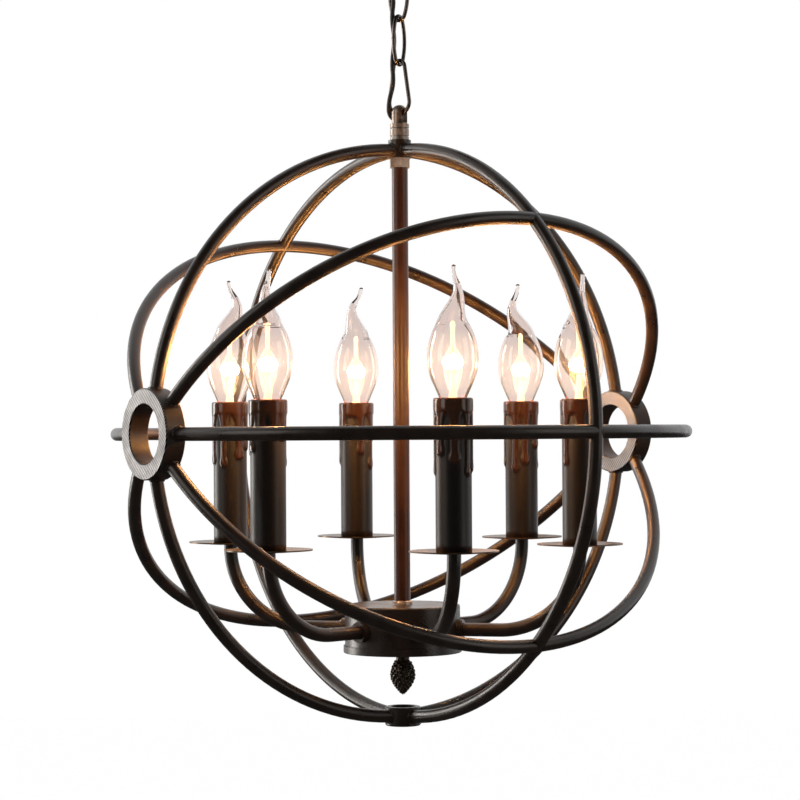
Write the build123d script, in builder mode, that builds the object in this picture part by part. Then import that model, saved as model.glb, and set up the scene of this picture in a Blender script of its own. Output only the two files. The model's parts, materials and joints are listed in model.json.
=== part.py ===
"""Orb chandelier: a cage of five round-bar rings on two open hubs, hung on a short chain below a
ceiling canopy, with a stem, a drum and six candle lamps inside. Sizes in millimetres, +Z up, origin
at the centre of the bracket's ceiling face."""
from build123d import *
from math import asin, atan2, cos, degrees, pi, radians, sin, tan
import os

os.makedirs("parts", exist_ok=True)

# ------------------------------------------------------------------ clearances
WELD_GAP = 0.1          # between a coped bar end and what it is welded to
THREAD_GAP = 0.08       # radial, between a threaded rod and its nut or socket
CHAIN_GAP = 0.2         # between two wires that hang in each other
LAMP_GAP = 0.3          # between a bulb's cap and the holder's socket

# ------------------------------------------------------------------ cage
RING_R = 210.0          # centre line of every ring
BAR_D = 9.5
RING_TILT = 45.0        # of the two leaning rings, from the vertical
CROSS_TWIST = 3.8       # the cross ring stands this far off square to the hubs
HUB_D = 64.0
HUB_BORE = 41.5
HUB_L = 15.5
HUB_EDGE = 0.8
TOP_COLLAR_D = 17.0
TOP_COLLAR_H = 13.4
TOP_COLLAR_RISE = 1.0   # its middle stands above the rings' centre line
FOOT_COLLAR_D = 26.6
FOOT_COLLAR_BORE = 18.0
FOOT_COLLAR_H = 14.0

# ------------------------------------------------------------------ ceiling fitting
BRACKET_L = 96.0
BRACKET_W = 20.0
BRACKET_T = 2.5
SLOT_SPACING = 48.0
SLOT_L = 14.0
SLOT_W = 5.0
SCREW_SPACING = 80.0
SCREW_D = 4.0
CANOPY_D = 110.0
CANOPY_H = 26.0
CANOPY_T = 1.2
CANOPY_EDGE = 7.0       # outer radius between its side and its floor
CANOPY_RIM_GAP = 0.4    # below the ceiling face
CAP_NUT_D = 9.0
CAP_NUT_H = 8.0
BLOCK_L = 24.0
BLOCK_W = 12.0
BLOCK_H = 9.0
BLOCK_POLES = 3
BLOCK_HOLE = 3.2

# ------------------------------------------------------------------ chain and loops
CHAIN_AZ = -67.0        # plane of the pear link and of the upper link
WIRE_D = 2.9
LINK_H = 39.1
LINK_W = 18.0
LINK_END_R = 5.2        # of the wire's centre line round the ends of an oval link
PEAR_H = 42.8
PEAR_TOP_W = 12.4
PEAR_FOOT_W = 20.2
SHOULDER_D = 15.0
SHOULDER_H = 4.0
CANOPY_POST_D = 10.8
POST_D = 11.8
POST_H = 14.5
LOOP_SLOT_W = 8.0
LOOP_FLOOR = 1.0        # from a loop's base to the floor of its slot
LOOP_REACH = 7.7        # from a loop's base to the centre of the wire in it
SPIGOT_L = 5.0
FLEX_D = 3.4

# ------------------------------------------------------------------ stem
THREAD_D = 9.8
THREAD_BORE = 6.0
LOOP_COLLAR_D = 14.2
LOOP_COLLAR_H = 12.0
GROOVE_D = 11.8
GROOVE_W = 1.0
GROOVE_PLACES = (2.2, 8.1)
NUT_FLATS = 14.0
NUT_H = 7.2
STEM_D = 12.0
STEM_BORE = 10.0
NIPPLE_REACH = 12.0     # of a threaded nipple into the stem tube

# ------------------------------------------------------------------ drum
DRUM_D = 85.6
DRUM_T = 1.2
DRUM_EDGE = 1.5
DRUM_TOP = -127.5       # from the middle of the orb
DRUM_FOOT = -162.7
BASE_LIP = 5.2
BASE_T = 1.0
DRUM_NUT_D = 15.0
DRUM_NUT_H = 2.8
CONNECTOR_L = 20.0
CONNECTOR_W = 12.0
CONNECTOR_H = 8.0
CONNECTOR_X = 14.0      # from the stem's axis to a connector's near end
EXIT_SLOT_DROP = 2.0    # below the drum's top
EXIT_SLOT_H = 18.0      # the side window where the wires leave the nipple
FINIAL_D = 18.0
FINIAL_H = 31.8
FINIAL_WIDEST = 17.5    # below its flange's face
FINIAL_FLANGE_D = 14.0
FINIAL_FLANGE_H = 2.0
FINIAL_NECK_D = 12.4
FINIAL_NECK_H = 6.0     # from the flange's face to the foot of the neck
FINIAL_TIP_D = 1.0
FINIAL_TAPER = 0.65     # of its greatest radius, halfway from there to the tip
FINIAL_SOCKET = 6.0

# ------------------------------------------------------------------ lamps
LAMPS = 6
LAMP_AZ = 10.5          # of lamp 1; the others follow at equal steps
LAMP_R = 134.0
PAN_Z = -82.6           # top face of a pan, from the middle of the orb
PAN_D = 62.5
PAN_T = 1.0
PAN_DISH = 1.2
ARM_D = 10.0
ARM_BORE = 6.5
ARM_Z = -145.5
ARM_BEND = 60.0
ARM_INSET = 8.0         # of an arm into the drum
ARM_SPIGOT_D = 8.4
ARM_SPIGOT_L = 5.0
ARM_COLLAR_D = 15.0
ARM_COLLAR_L = 3.5
LEAD_D = 3.0
SLEEVE_D = 25.2
SLEEVE_BORE = 23.2
SLEEVE_TOP = 24.0
WAX_D = 27.8
WAX_H = 27.0
WAX_BAND = 18.0         # of its height that the wax keeps its full thickness
HOLDER_D = 20.5
HOLDER_TOP = 10.0
HOLDER_FOOT = -18.0
STRAP_W = 8.0
STRAP_T = 1.0
STRAP_DROP = 4.0        # of a strap's end below the holder's rim
PAN_FLAT = 2.0          # flat margin of a pan round its sleeve
CAP_D = 13.7
CAP_FOOT = -13.0
CAP_TOP = 13.0
BUTTON_D = 6.0
BUTTON_H = 4.0
GLASS_WALL = 0.8
GLASS_D = 36.0
GLASS_NECK_D = 12.4
GLASS_WIDEST = 37.5     # above the cap
GLASS_FLARE = 23.5      # half angle of the cone from the neck to the belly
BELLY_LOW_R = 35.0      # outline radius below the widest place
BELLY_HIGH_R = 51.0     # outline radius above it
FLAME_BEND = 62.0       # above the cap, where the flame begins to bend
FLAME_H = 103.0
TAIL_END_D = 3.0
TAIL_BEAD_D = 3.5       # the melted bead that closes the tail
TAIL_TAPER = 1.9        # how fast the tail thins
TAIL_HOLLOW = 0.7       # of the tail's length that is blown hollow
TAIL_SWAY = 0.55        # of the tail's length that bends one way before it bends back
TAIL_STEPS = 8
# Each tip was bent by hand: its direction, how far the flame leans there and where its end comes to.
TAILS = ((-35.0, -6.5, -2.0), (-35.0, -3.2, 4.5), (-35.0, 5.6, -0.5), (40.0, -5.0, 4.0), (-55.0, 4.0, 1.0),
         (-5.0, 2.5, 4.2))


def lamp_turn(lamp):
    """Direction of a lamp from the stem, in degrees."""
    return LAMP_AZ + 360 / LAMPS * lamp


def lamp_axis(lamp):
    """The point on the upright axis of a lamp that is level with the middle of the orb."""
    angle = radians(lamp_turn(lamp))
    return Vector(LAMP_R * cos(angle), LAMP_R * sin(angle), ORB_Z)


def ring_plane(turn):
    """A plane through the hub axis. Its Y points up, turned towards the front by turn degrees."""
    normal = (0, -cos(radians(turn)), -sin(radians(turn)))
    return Plane(origin=(0, 0, ORB_Z), x_dir=(1, 0, 0), z_dir=normal)


def write(piece, name):
    piece.label = name
    export_step(piece, f"parts/{name}.step")


# ------------------------------------------------------------------ heights, from the ceiling down
canopy_floor = -CANOPY_RIM_GAP - CANOPY_H
canopy_loop_base = canopy_floor - SHOULDER_H
wire_r = WIRE_D / 2
link_half_w = (LINK_W - WIRE_D) / 2
pear_top_r = (PEAR_TOP_W - WIRE_D) / 2
pear_foot_r = (PEAR_FOOT_W - WIRE_D) / 2
upper_top = canopy_loop_base - LOOP_REACH
upper_foot = upper_top - LINK_H + WIRE_D
lower_top = upper_foot + WIRE_D + CHAIN_GAP
lower_foot = lower_top - LINK_H + WIRE_D
pear_top = lower_foot + WIRE_D + CHAIN_GAP
pear_foot = pear_top - PEAR_H + WIRE_D
fitting_base = pear_foot - LOOP_REACH
loop_collar_foot = fitting_base - LOOP_COLLAR_H
top_collar_foot = loop_collar_foot - TOP_COLLAR_H
stem_top = top_collar_foot - NUT_H
ORB_Z = top_collar_foot + TOP_COLLAR_H / 2 - TOP_COLLAR_RISE - RING_R
drum_top = ORB_Z + DRUM_TOP
drum_foot = ORB_Z + DRUM_FOOT
stem_foot = drum_top + DRUM_NUT_H
foot_collar_foot = ORB_Z - RING_R - FOOT_COLLAR_H / 2
thread_r = THREAD_D / 2
socket_r = thread_r + THREAD_GAP
chain_plane = Plane(origin=(0, 0, 0), x_dir=(cos(radians(CHAIN_AZ)), sin(radians(CHAIN_AZ)), 0),
                    z_dir=(0, 0, 1))
print("orb centre at z =", round(ORB_Z, 2), " whole height =", round(-foot_collar_foot, 2))

# ================================================================== ceiling bracket
with BuildPart() as ceiling_bracket:
    with BuildSketch(Plane.XY.offset(-BRACKET_T)):
        Rectangle(BRACKET_L, BRACKET_W)
        fillet(vertices(), BRACKET_W / 5)
        with GridLocations(SLOT_SPACING, 0, 2, 1):
            SlotOverall(SLOT_L, SLOT_W, mode=Mode.SUBTRACT)
        with GridLocations(SCREW_SPACING, 0, 2, 1):
            Circle(SCREW_D / 2 + THREAD_GAP, mode=Mode.SUBTRACT)
    extrude(amount=BRACKET_T)
write(ceiling_bracket.part, "ceiling_bracket")

# ================================================================== canopy and its fasteners
with BuildPart() as canopy:
    with BuildSketch(Plane.XY.offset(canopy_floor)):
        Circle(CANOPY_D / 2)
    extrude(amount=CANOPY_H)
    fillet(edges().group_by(Axis.Z)[0], CANOPY_EDGE)
    rim = faces().sort_by(Axis.Z)[-1]
    offset(amount=-CANOPY_T, openings=rim)
    with Locations((0, 0, canopy_floor)):
        Cylinder(socket_r, 4 * CANOPY_T, mode=Mode.SUBTRACT)
        with GridLocations(SCREW_SPACING, 0, 2, 1):
            Cylinder(SCREW_D / 2 + 3 * THREAD_GAP, 4 * CANOPY_T, mode=Mode.SUBTRACT)
write(canopy.part, "canopy")

with BuildPart() as canopy_screws:
    with BuildSketch(Plane.XY.offset(-BRACKET_T)):
        with GridLocations(SCREW_SPACING, 0, 2, 1):
            Circle(SCREW_D / 2)
    extrude(amount=BRACKET_T - THREAD_GAP)
    with BuildSketch(Plane.XY.offset(-BRACKET_T)):
        with GridLocations(SCREW_SPACING, 0, 2, 1):
            Circle(SCREW_D / 2)
    extrude(amount=canopy_floor - CAP_NUT_H / 2 + BRACKET_T)
write(canopy_screws.part, "canopy_screws")

with BuildPart() as cap_nuts:
    with BuildSketch(Plane.XZ):
        with BuildLine():
            nut_r = CAP_NUT_D / 2
            skirt = canopy_floor - CAP_NUT_H + nut_r
            Line((0, canopy_floor), (nut_r, canopy_floor))
            Line((nut_r, canopy_floor), (nut_r, skirt))
            ThreePointArc((nut_r, skirt), (nut_r * cos(pi / 4), skirt - nut_r * sin(pi / 4)),
                          (0, skirt - nut_r))
            Line((0, skirt - nut_r), (0, canopy_floor))
        make_face()
    revolve(axis=Axis.Z)
    with Locations((0, 0, canopy_floor - CAP_NUT_H / 4)):
        Cylinder(SCREW_D / 2 + THREAD_GAP, CAP_NUT_H / 2 + THREAD_GAP, mode=Mode.SUBTRACT)
cap_nut_pair = Compound(children=[Pos(side * SCREW_SPACING / 2, 0, 0) * cap_nuts.part for side in (-1, 1)])
write(cap_nut_pair, "cap_nuts")


# ================================================================== chain loops
def loop_parts(base, way, post_d, bow_r):
    """Post, slot and dome of a loop. It stands on base and points along way, +1 up or -1 down. The
    bridge under its dome is rounded to sit in a wire bow of radius bow_r."""
    post_r = post_d / 2
    bow_centre = base + way * (LOOP_REACH + bow_r)
    dome_start = base + way * (POST_H - post_r)
    with BuildPart() as loop:
        with BuildSketch(Plane.XZ):
            with BuildLine():
                Line((0, base), (post_r, base))
                Line((post_r, base), (post_r, dome_start))
                ThreePointArc((post_r, dome_start),
                              (post_r * cos(pi / 4), dome_start + way * post_r * sin(pi / 4)),
                              (0, dome_start + way * post_r))
                Line((0, dome_start + way * post_r), (0, base))
            make_face()
        revolve(axis=Axis.Z)
        with BuildSketch(Plane(origin=(0, 0, 0), x_dir=chain_plane.x_dir, z_dir=-chain_plane.y_dir)):
            with Locations((0, base + way * (LOOP_FLOOR + POST_H / 2))):
                Rectangle(2 * post_d, POST_H)
            with Locations((0, bow_centre)):
                Circle(bow_r - wire_r - CHAIN_GAP, mode=Mode.SUBTRACT)
        extrude(amount=LOOP_SLOT_W / 2, both=True, mode=Mode.SUBTRACT)
    return loop.part


canopy_loop_post = loop_parts(canopy_loop_base, -1, CANOPY_POST_D, LINK_END_R)
with BuildPart() as canopy_loop:
    add(canopy_loop_post)
    with BuildSketch(Plane.XY.offset(canopy_loop_base)):
        Circle(SHOULDER_D / 2)
    extrude(amount=SHOULDER_H)
    with BuildSketch(Plane.XY.offset(canopy_floor)):
        Circle(thread_r)
    extrude(amount=2 * SPIGOT_L)
    with BuildSketch(Plane.XY.offset(canopy_floor + 2 * SPIGOT_L)):
        Circle(THREAD_BORE / 2)
    extrude(amount=-2 * SPIGOT_L - SHOULDER_H - 2 * LOOP_FLOOR, mode=Mode.SUBTRACT)
write(canopy_loop.part, "canopy_loop")

with BuildPart() as loop_nut:
    with BuildSketch(Plane.XY.offset(canopy_floor + CANOPY_T)):
        RegularPolygon(NUT_FLATS / 2, 6, major_radius=False)
        Circle(socket_r, mode=Mode.SUBTRACT)
    extrude(amount=SPIGOT_L)
write(loop_nut.part, "loop_nut")

fitting_post = loop_parts(fitting_base, 1, POST_D, pear_foot_r)
with BuildPart() as loop_fitting:
    add(fitting_post)
    with BuildSketch(Plane.XY.offset(fitting_base)):
        Circle(thread_r)
    extrude(amount=-SPIGOT_L)
    with BuildSketch(Plane.XY.offset(fitting_base - SPIGOT_L)):
        Circle(THREAD_BORE / 2)
    extrude(amount=SPIGOT_L + 2 * LOOP_FLOOR, mode=Mode.SUBTRACT)
write(loop_fitting.part, "loop_fitting")


# ================================================================== chain links
def bent_wire(path):
    """Round wire bent along a closed path."""
    with BuildPart() as link:
        with BuildSketch(Plane(origin=path @ 0, z_dir=path % 0)):
            Circle(wire_r)
        sweep(path=path)
    return link.part


def oval_link(top, foot, plane_x):
    """A link with round ends and bowed sides. top and foot are the heights of the wire's centre."""
    link_plane = Plane(origin=(0, 0, (top + foot) / 2), x_dir=plane_x, z_dir=plane_x.cross(Vector(0, 0, 1)))
    half_h = (top - foot) / 2
    end_c = half_h - LINK_END_R
    bow = link_half_w - LINK_END_R
    side_c = (end_c ** 2 - bow ** 2) / (2 * bow)
    lean = atan2(end_c, side_c)
    join_x = LINK_END_R * cos(lean)
    join_z = end_c + LINK_END_R * sin(lean)
    with BuildLine(link_plane) as path:
        ThreePointArc((join_x, join_z), (0, half_h), (-join_x, join_z))
        ThreePointArc((-join_x, join_z), (-link_half_w, 0), (-join_x, -join_z))
        ThreePointArc((-join_x, -join_z), (0, -half_h), (join_x, -join_z))
        ThreePointArc((join_x, -join_z), (link_half_w, 0), (join_x, join_z))
    return bent_wire(path.wire())


def pear_link(top, foot, top_r, foot_r, plane_x):
    """A link with a narrow round top, a wide round foot and straight sides."""
    link_plane = Plane(origin=(0, 0, 0), x_dir=plane_x, z_dir=plane_x.cross(Vector(0, 0, 1)))
    top_c = top - top_r
    foot_c = foot + foot_r
    lean = asin((foot_r - top_r) / (top_c - foot_c))
    side = (cos(lean), sin(lean))
    top_join = (top_r * side[0], top_c + top_r * side[1])
    foot_join = (foot_r * side[0], foot_c + foot_r * side[1])
    with BuildLine(link_plane) as path:
        ThreePointArc(top_join, (0, top), (-top_join[0], top_join[1]))
        Line((-top_join[0], top_join[1]), (-foot_join[0], foot_join[1]))
        ThreePointArc((-foot_join[0], foot_join[1]), (0, foot), foot_join)
        Line(foot_join, top_join)
    return bent_wire(path.wire())


write(oval_link(upper_top, upper_foot, chain_plane.x_dir), "chain_link_upper")
write(oval_link(lower_top, lower_foot, chain_plane.y_dir), "chain_link_lower")
write(pear_link(pear_top, pear_foot, pear_top_r, pear_foot_r, chain_plane.x_dir), "pear_link")

# ================================================================== stem, its collars and nuts
with BuildPart() as loop_collar:
    with BuildSketch(Plane.XY.offset(loop_collar_foot)):
        Circle(LOOP_COLLAR_D / 2)
        Circle(socket_r, mode=Mode.SUBTRACT)
    extrude(amount=LOOP_COLLAR_H)
    for place in GROOVE_PLACES:
        with BuildSketch(Plane.XY.offset(loop_collar_foot + place)):
            Circle(LOOP_COLLAR_D)
            Circle(GROOVE_D / 2, mode=Mode.SUBTRACT)
        extrude(amount=GROOVE_W, mode=Mode.SUBTRACT)
write(loop_collar.part, "loop_collar")

with BuildPart() as top_collar:
    with BuildSketch(Plane.XY.offset(top_collar_foot)):
        Circle(TOP_COLLAR_D / 2)
        Circle(socket_r, mode=Mode.SUBTRACT)
    extrude(amount=TOP_COLLAR_H)
write(top_collar.part, "top_collar")

with BuildPart() as stem_nut:
    with BuildSketch(Plane.XY.offset(stem_top)):
        RegularPolygon(NUT_FLATS / 2, 6, major_radius=False)
        Circle(socket_r, mode=Mode.SUBTRACT)
    extrude(amount=NUT_H)
write(stem_nut.part, "stem_nut")

with BuildPart() as top_nipple:
    with BuildSketch(Plane.XY.offset(stem_top - NIPPLE_REACH)):
        Circle(thread_r)
        Circle(THREAD_BORE / 2, mode=Mode.SUBTRACT)
    extrude(amount=fitting_base - SPIGOT_L - stem_top + NIPPLE_REACH)
write(top_nipple.part, "top_nipple")

with BuildPart() as stem_tube:
    with BuildSketch(Plane.XY.offset(stem_foot)):
        Circle(STEM_D / 2)
        Circle(STEM_BORE / 2, mode=Mode.SUBTRACT)
    extrude(amount=stem_top - stem_foot)
write(stem_tube.part, "stem_tube")

# ================================================================== hubs
for name, side in (("hub_left", -1), ("hub_right", 1)):
    with BuildPart() as hub:
        with BuildSketch(Plane(origin=(side * RING_R - HUB_L / 2, 0, ORB_Z), x_dir=(0, 1, 0),
                               z_dir=(1, 0, 0))):
            Circle(HUB_D / 2)
            Circle(HUB_BORE / 2, mode=Mode.SUBTRACT)
        extrude(amount=HUB_L)
        chamfer(edges().filter_by(GeomType.CIRCLE), HUB_EDGE)
    write(hub.part, name)

# ================================================================== rings
hub_cope = Pos(0, 0, ORB_Z) * Rot(0, 90, 0) * Cylinder(HUB_D / 2 + WELD_GAP, 3 * RING_R)
top_cope = Pos(0, 0, ORB_Z + RING_R) * Cylinder(TOP_COLLAR_D / 2 + WELD_GAP, 6 * BAR_D)
foot_cope = Pos(0, 0, ORB_Z - RING_R) * Cylinder(FOOT_COLLAR_D / 2 + WELD_GAP, 6 * BAR_D)
cross_cope = Pos(0, 0, ORB_Z) * Rot(0, 0, CROSS_TWIST) * Rot(0, 90, 0) * Torus(RING_R, BAR_D / 2 + WELD_GAP)


def bar_arc(plane, start, turn, *copes):
    """A round bar bent to the rings' radius, cut to fit whatever it is welded to."""
    with BuildPart() as bar:
        with BuildLine(plane) as path:
            CenterArc((0, 0), RING_R, start, turn)
        with BuildSketch(Plane(origin=path.line @ 0, z_dir=path.line % 0)):
            Circle(BAR_D / 2)
        sweep(path=path.line)
        for cope in copes:
            add(cope, mode=Mode.SUBTRACT)
    return bar.part


HALF_RINGS = {
    "horizontal_ring_front": (90, cross_cope),
    "horizontal_ring_back": (270, cross_cope),
    "main_ring_upper": (0, top_cope),
    "main_ring_lower": (180, foot_cope),
    "tilted_ring_a_upper": (RING_TILT, cross_cope),
    "tilted_ring_a_lower": (180 + RING_TILT, cross_cope),
    "tilted_ring_b_upper": (360 - RING_TILT, cross_cope),
    "tilted_ring_b_lower": (180 - RING_TILT, cross_cope),
}
for name, (turn, middle_cope) in HALF_RINGS.items():
    write(bar_arc(ring_plane(turn), 0, 180, hub_cope, middle_cope), name)

for name, way in (("cross_ring_front", 180), ("cross_ring_back", 0)):
    out = radians(way + 90 + CROSS_TWIST)
    cross_plane = Plane(origin=(0, 0, ORB_Z), x_dir=(0, 0, 1), z_dir=(sin(out), -cos(out), 0))
    write(bar_arc(cross_plane, 0, 180, top_cope, foot_cope), name)

with BuildPart() as foot_collar:
    with BuildSketch(Plane.XY.offset(foot_collar_foot)):
        Circle(FOOT_COLLAR_D / 2)
        Circle(FOOT_COLLAR_BORE / 2, mode=Mode.SUBTRACT)
    extrude(amount=FOOT_COLLAR_H)
    chamfer(edges().filter_by(GeomType.CIRCLE), HUB_EDGE)
write(foot_collar.part, "bottom_collar")

# ================================================================== drum
arm_bores = [Rot(0, 0, lamp_turn(lamp)) * Pos(DRUM_D / 2, 0, ORB_Z + ARM_Z)
             * Rot(0, 90, 0) * Cylinder(ARM_D / 2 + WELD_GAP, DRUM_D / 4) for lamp in range(LAMPS)]
body_foot = drum_foot + BASE_T
with BuildPart() as drum_body:
    with BuildSketch(Plane.XY.offset(body_foot)):
        Circle(DRUM_D / 2)
    extrude(amount=drum_top - body_foot)
    fillet(edges().group_by(Axis.Z)[-1], DRUM_EDGE)
    underside = faces().sort_by(Axis.Z)[0]
    offset(amount=-DRUM_T, openings=underside)
    with Locations((0, 0, drum_top)):
        Cylinder(socket_r, 4 * DRUM_T, mode=Mode.SUBTRACT)
    for bore in arm_bores:
        add(bore, mode=Mode.SUBTRACT)
write(drum_body.part, "drum_body")

with BuildPart() as drum_base:
    with BuildSketch(Plane.XY.offset(drum_foot)):
        Circle(DRUM_D / 2 + WELD_GAP + BASE_T)
    extrude(amount=BASE_LIP)
    with BuildSketch(Plane.XY.offset(body_foot)):
        Circle(DRUM_D / 2 + WELD_GAP)
    extrude(amount=BASE_LIP, mode=Mode.SUBTRACT)
    with Locations((0, 0, drum_foot)):
        Cylinder(socket_r, 4 * BASE_T, mode=Mode.SUBTRACT)
    fillet(edges().group_by(Axis.Z)[0].sort_by(SortBy.LENGTH)[-1], BASE_T / 2)
write(drum_base.part, "drum_base")

with BuildPart() as drum_nut:
    with BuildSketch(Plane.XY.offset(drum_top)):
        Circle(DRUM_NUT_D / 2)
        Circle(socket_r, mode=Mode.SUBTRACT)
    extrude(amount=DRUM_NUT_H)
    chamfer(edges().group_by(Axis.Z)[-1], DRUM_NUT_H / 5)
write(drum_nut.part, "drum_nut")

nipple_foot = drum_foot - FINIAL_SOCKET
with BuildPart() as bottom_nipple:
    with BuildSketch(Plane.XY.offset(nipple_foot)):
        Circle(thread_r)
        Circle(THREAD_BORE / 2, mode=Mode.SUBTRACT)
    extrude(amount=stem_foot + NIPPLE_REACH - nipple_foot)
    with Locations((0, 0, drum_top - EXIT_SLOT_DROP)):
        Box(THREAD_D, THREAD_BORE, EXIT_SLOT_H, align=(Align.MIN, Align.CENTER, Align.MAX),
            mode=Mode.SUBTRACT)
write(bottom_nipple.part, "bottom_nipple")

# ================================================================== finial
finial_top = drum_foot
with BuildPart() as finial:
    with BuildSketch(Plane.XZ):
        with BuildLine():
            flange_r = FINIAL_FLANGE_D / 2
            neck_r = FINIAL_NECK_D / 2
            tip_r = FINIAL_TIP_D / 2
            widest = finial_top - FINIAL_WIDEST
            tip = finial_top - FINIAL_H
            neck_foot = finial_top - FINIAL_NECK_H
            swell_r = ((widest - neck_foot) ** 2 / (FINIAL_D / 2 - neck_r) + FINIAL_D / 2 - neck_r) / 2
            swell = asin((neck_foot - widest) / swell_r)
            Polyline((tip_r, tip), (0, tip), (0, finial_top), (flange_r, finial_top),
                     (flange_r, finial_top - FINIAL_FLANGE_H), (neck_r, finial_top - FINIAL_FLANGE_H),
                     (neck_r, neck_foot))
            CenterArc((FINIAL_D / 2 - swell_r, widest), swell_r, 0, degrees(swell))
            ThreePointArc((FINIAL_D / 2, widest), (FINIAL_TAPER * FINIAL_D / 2, (widest + tip) / 2),
                          (tip_r, tip))
        make_face()
    revolve(axis=Axis.Z)
    with BuildSketch(Plane.XY.offset(finial_top)):
        Circle(socket_r)
    extrude(amount=-FINIAL_SOCKET - THREAD_GAP, mode=Mode.SUBTRACT)
write(finial.part, "finial")

# ================================================================== arms
arm_run = DRUM_D / 2 - ARM_INSET
spigot_z = ORB_Z + PAN_Z - PAN_T


def arm_path(angle, top):
    """Centre line of an arm: out of the drum, round one bend and up to the height top."""
    out = Plane(origin=(0, 0, 0), x_dir=(cos(angle), sin(angle), 0), z_dir=(sin(angle), -cos(angle), 0))
    bend_z = ORB_Z + ARM_Z + ARM_BEND
    with BuildLine(out) as path:
        Line((arm_run, ORB_Z + ARM_Z), (LAMP_R - ARM_BEND, ORB_Z + ARM_Z))
        CenterArc((LAMP_R - ARM_BEND, bend_z), ARM_BEND, -90, 90)
        Line((LAMP_R, bend_z), (LAMP_R, top))
    return path.wire()


collars = []
leads = []
for lamp in range(LAMPS):
    angle = radians(lamp_turn(lamp))
    tube_line = arm_path(angle, spigot_z)
    with BuildPart() as arm:
        with BuildSketch(Plane(origin=tube_line @ 0, z_dir=tube_line % 0)):
            Circle(ARM_D / 2)
        sweep(path=tube_line)
        with BuildSketch(Plane(origin=tube_line @ 1, z_dir=(0, 0, 1))):
            Circle(ARM_SPIGOT_D / 2)
        extrude(amount=ARM_SPIGOT_L)
        bore_line = arm_path(angle, spigot_z + ARM_SPIGOT_L)
        with BuildSketch(Plane(origin=bore_line @ 0, z_dir=bore_line % 0)):
            Circle(ARM_BORE / 2)
        sweep(path=bore_line, mode=Mode.SUBTRACT)
    write(arm.part, f"arm_{lamp + 1}")

    lead_line = arm_path(angle, ORB_Z + HOLDER_FOOT)
    with BuildPart() as lead:
        with BuildSketch(Plane(origin=lead_line @ 0, z_dir=lead_line % 0)):
            Circle(LEAD_D / 2)
        sweep(path=lead_line)
    leads.append(lead.part)

    collar_plane = Plane(origin=(0, 0, ORB_Z + ARM_Z), x_dir=(0, 0, 1), z_dir=(cos(angle), sin(angle), 0))
    with BuildPart() as collar:
        with BuildSketch(collar_plane.offset(DRUM_D / 2 + ARM_COLLAR_L)):
            Circle(ARM_COLLAR_D / 2)
            Circle(ARM_D / 2 + WELD_GAP, mode=Mode.SUBTRACT)
        extrude(amount=-2 * ARM_COLLAR_L)
        with Locations((0, 0, ORB_Z + ARM_Z)):
            Cylinder(DRUM_D / 2 + WELD_GAP, 2 * ARM_COLLAR_D, mode=Mode.SUBTRACT)
    collars.append(collar.part)
write(Compound(children=collars), "arm_collars")

# ================================================================== lamps
pans = []
sleeves = []
holders = []
straps = []
for lamp in range(LAMPS):
    here = Pos(lamp_axis(lamp))
    with BuildPart() as pan:
        with BuildSketch(Plane.XZ):
            with BuildLine():
                flat = SLEEVE_D / 2 + PAN_FLAT
                Polyline((ARM_SPIGOT_D / 2 + WELD_GAP, PAN_Z), (flat, PAN_Z), (PAN_D / 2, PAN_Z + PAN_DISH),
                         (PAN_D / 2, PAN_Z + PAN_DISH - PAN_T), (flat, PAN_Z - PAN_T),
                         (ARM_SPIGOT_D / 2 + WELD_GAP, PAN_Z - PAN_T), close=True)
            make_face()
        revolve(axis=Axis.Z)
    pans.append(here * pan.part)

    with BuildPart() as sleeve:
        with BuildSketch(Plane.XZ):
            with BuildLine():
                tube_r = SLEEVE_D / 2
                wax_r = WAX_D / 2
                bore_r = SLEEVE_BORE / 2
                rim_r = (wax_r - bore_r) / 2
                rim_z = SLEEVE_TOP - rim_r
                Polyline((bore_r, rim_z), (bore_r, PAN_Z), (tube_r, PAN_Z), (tube_r, SLEEVE_TOP - WAX_H),
                         (wax_r, SLEEVE_TOP - WAX_BAND), (wax_r, rim_z))
                ThreePointArc((wax_r, rim_z), (bore_r + rim_r, SLEEVE_TOP), (bore_r, rim_z))
            make_face()
        revolve(axis=Axis.Z)
    sleeves.append(here * sleeve.part)

    with BuildPart() as holder:
        with BuildSketch(Plane.XY.offset(HOLDER_FOOT)):
            Circle(HOLDER_D / 2)
        extrude(amount=HOLDER_TOP - HOLDER_FOOT)
        with BuildSketch(Plane.XY.offset(CAP_FOOT - LAMP_GAP)):
            Circle(CAP_D / 2 + LAMP_GAP)
        extrude(amount=HOLDER_TOP - CAP_FOOT + LAMP_GAP, mode=Mode.SUBTRACT)
    holders.append(here * holder.part)

    with BuildPart() as strap:
        with BuildSketch(Plane.XY.offset(PAN_Z)):
            Circle(HOLDER_D / 2 + STRAP_T)
            Circle(ARM_SPIGOT_D / 2 + WELD_GAP, mode=Mode.SUBTRACT)
        extrude(amount=STRAP_T)
        with BuildSketch(Plane.XY.offset(PAN_Z)):
            with Locations((HOLDER_D / 2 + STRAP_T / 2, 0)):
                Rectangle(STRAP_T, STRAP_W)
            Circle(HOLDER_D / 2 + STRAP_T, mode=Mode.INTERSECT)
            Circle(HOLDER_D / 2, mode=Mode.SUBTRACT)
        extrude(amount=HOLDER_TOP - STRAP_DROP - PAN_Z)
    straps.append(here * Rot(0, 0, lamp_turn(lamp)) * strap.part)
write(Compound(children=pans), "drip_pans")
write(Compound(children=sleeves), "candle_sleeves")
write(Compound(children=holders), "lamp_holders")
write(Compound(children=straps), "holder_brackets")

# ================================================================== bulbs
glass_foot = CAP_TOP
glass_widest = glass_foot + GLASS_WIDEST
glass_bend = glass_foot + FLAME_BEND


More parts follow.
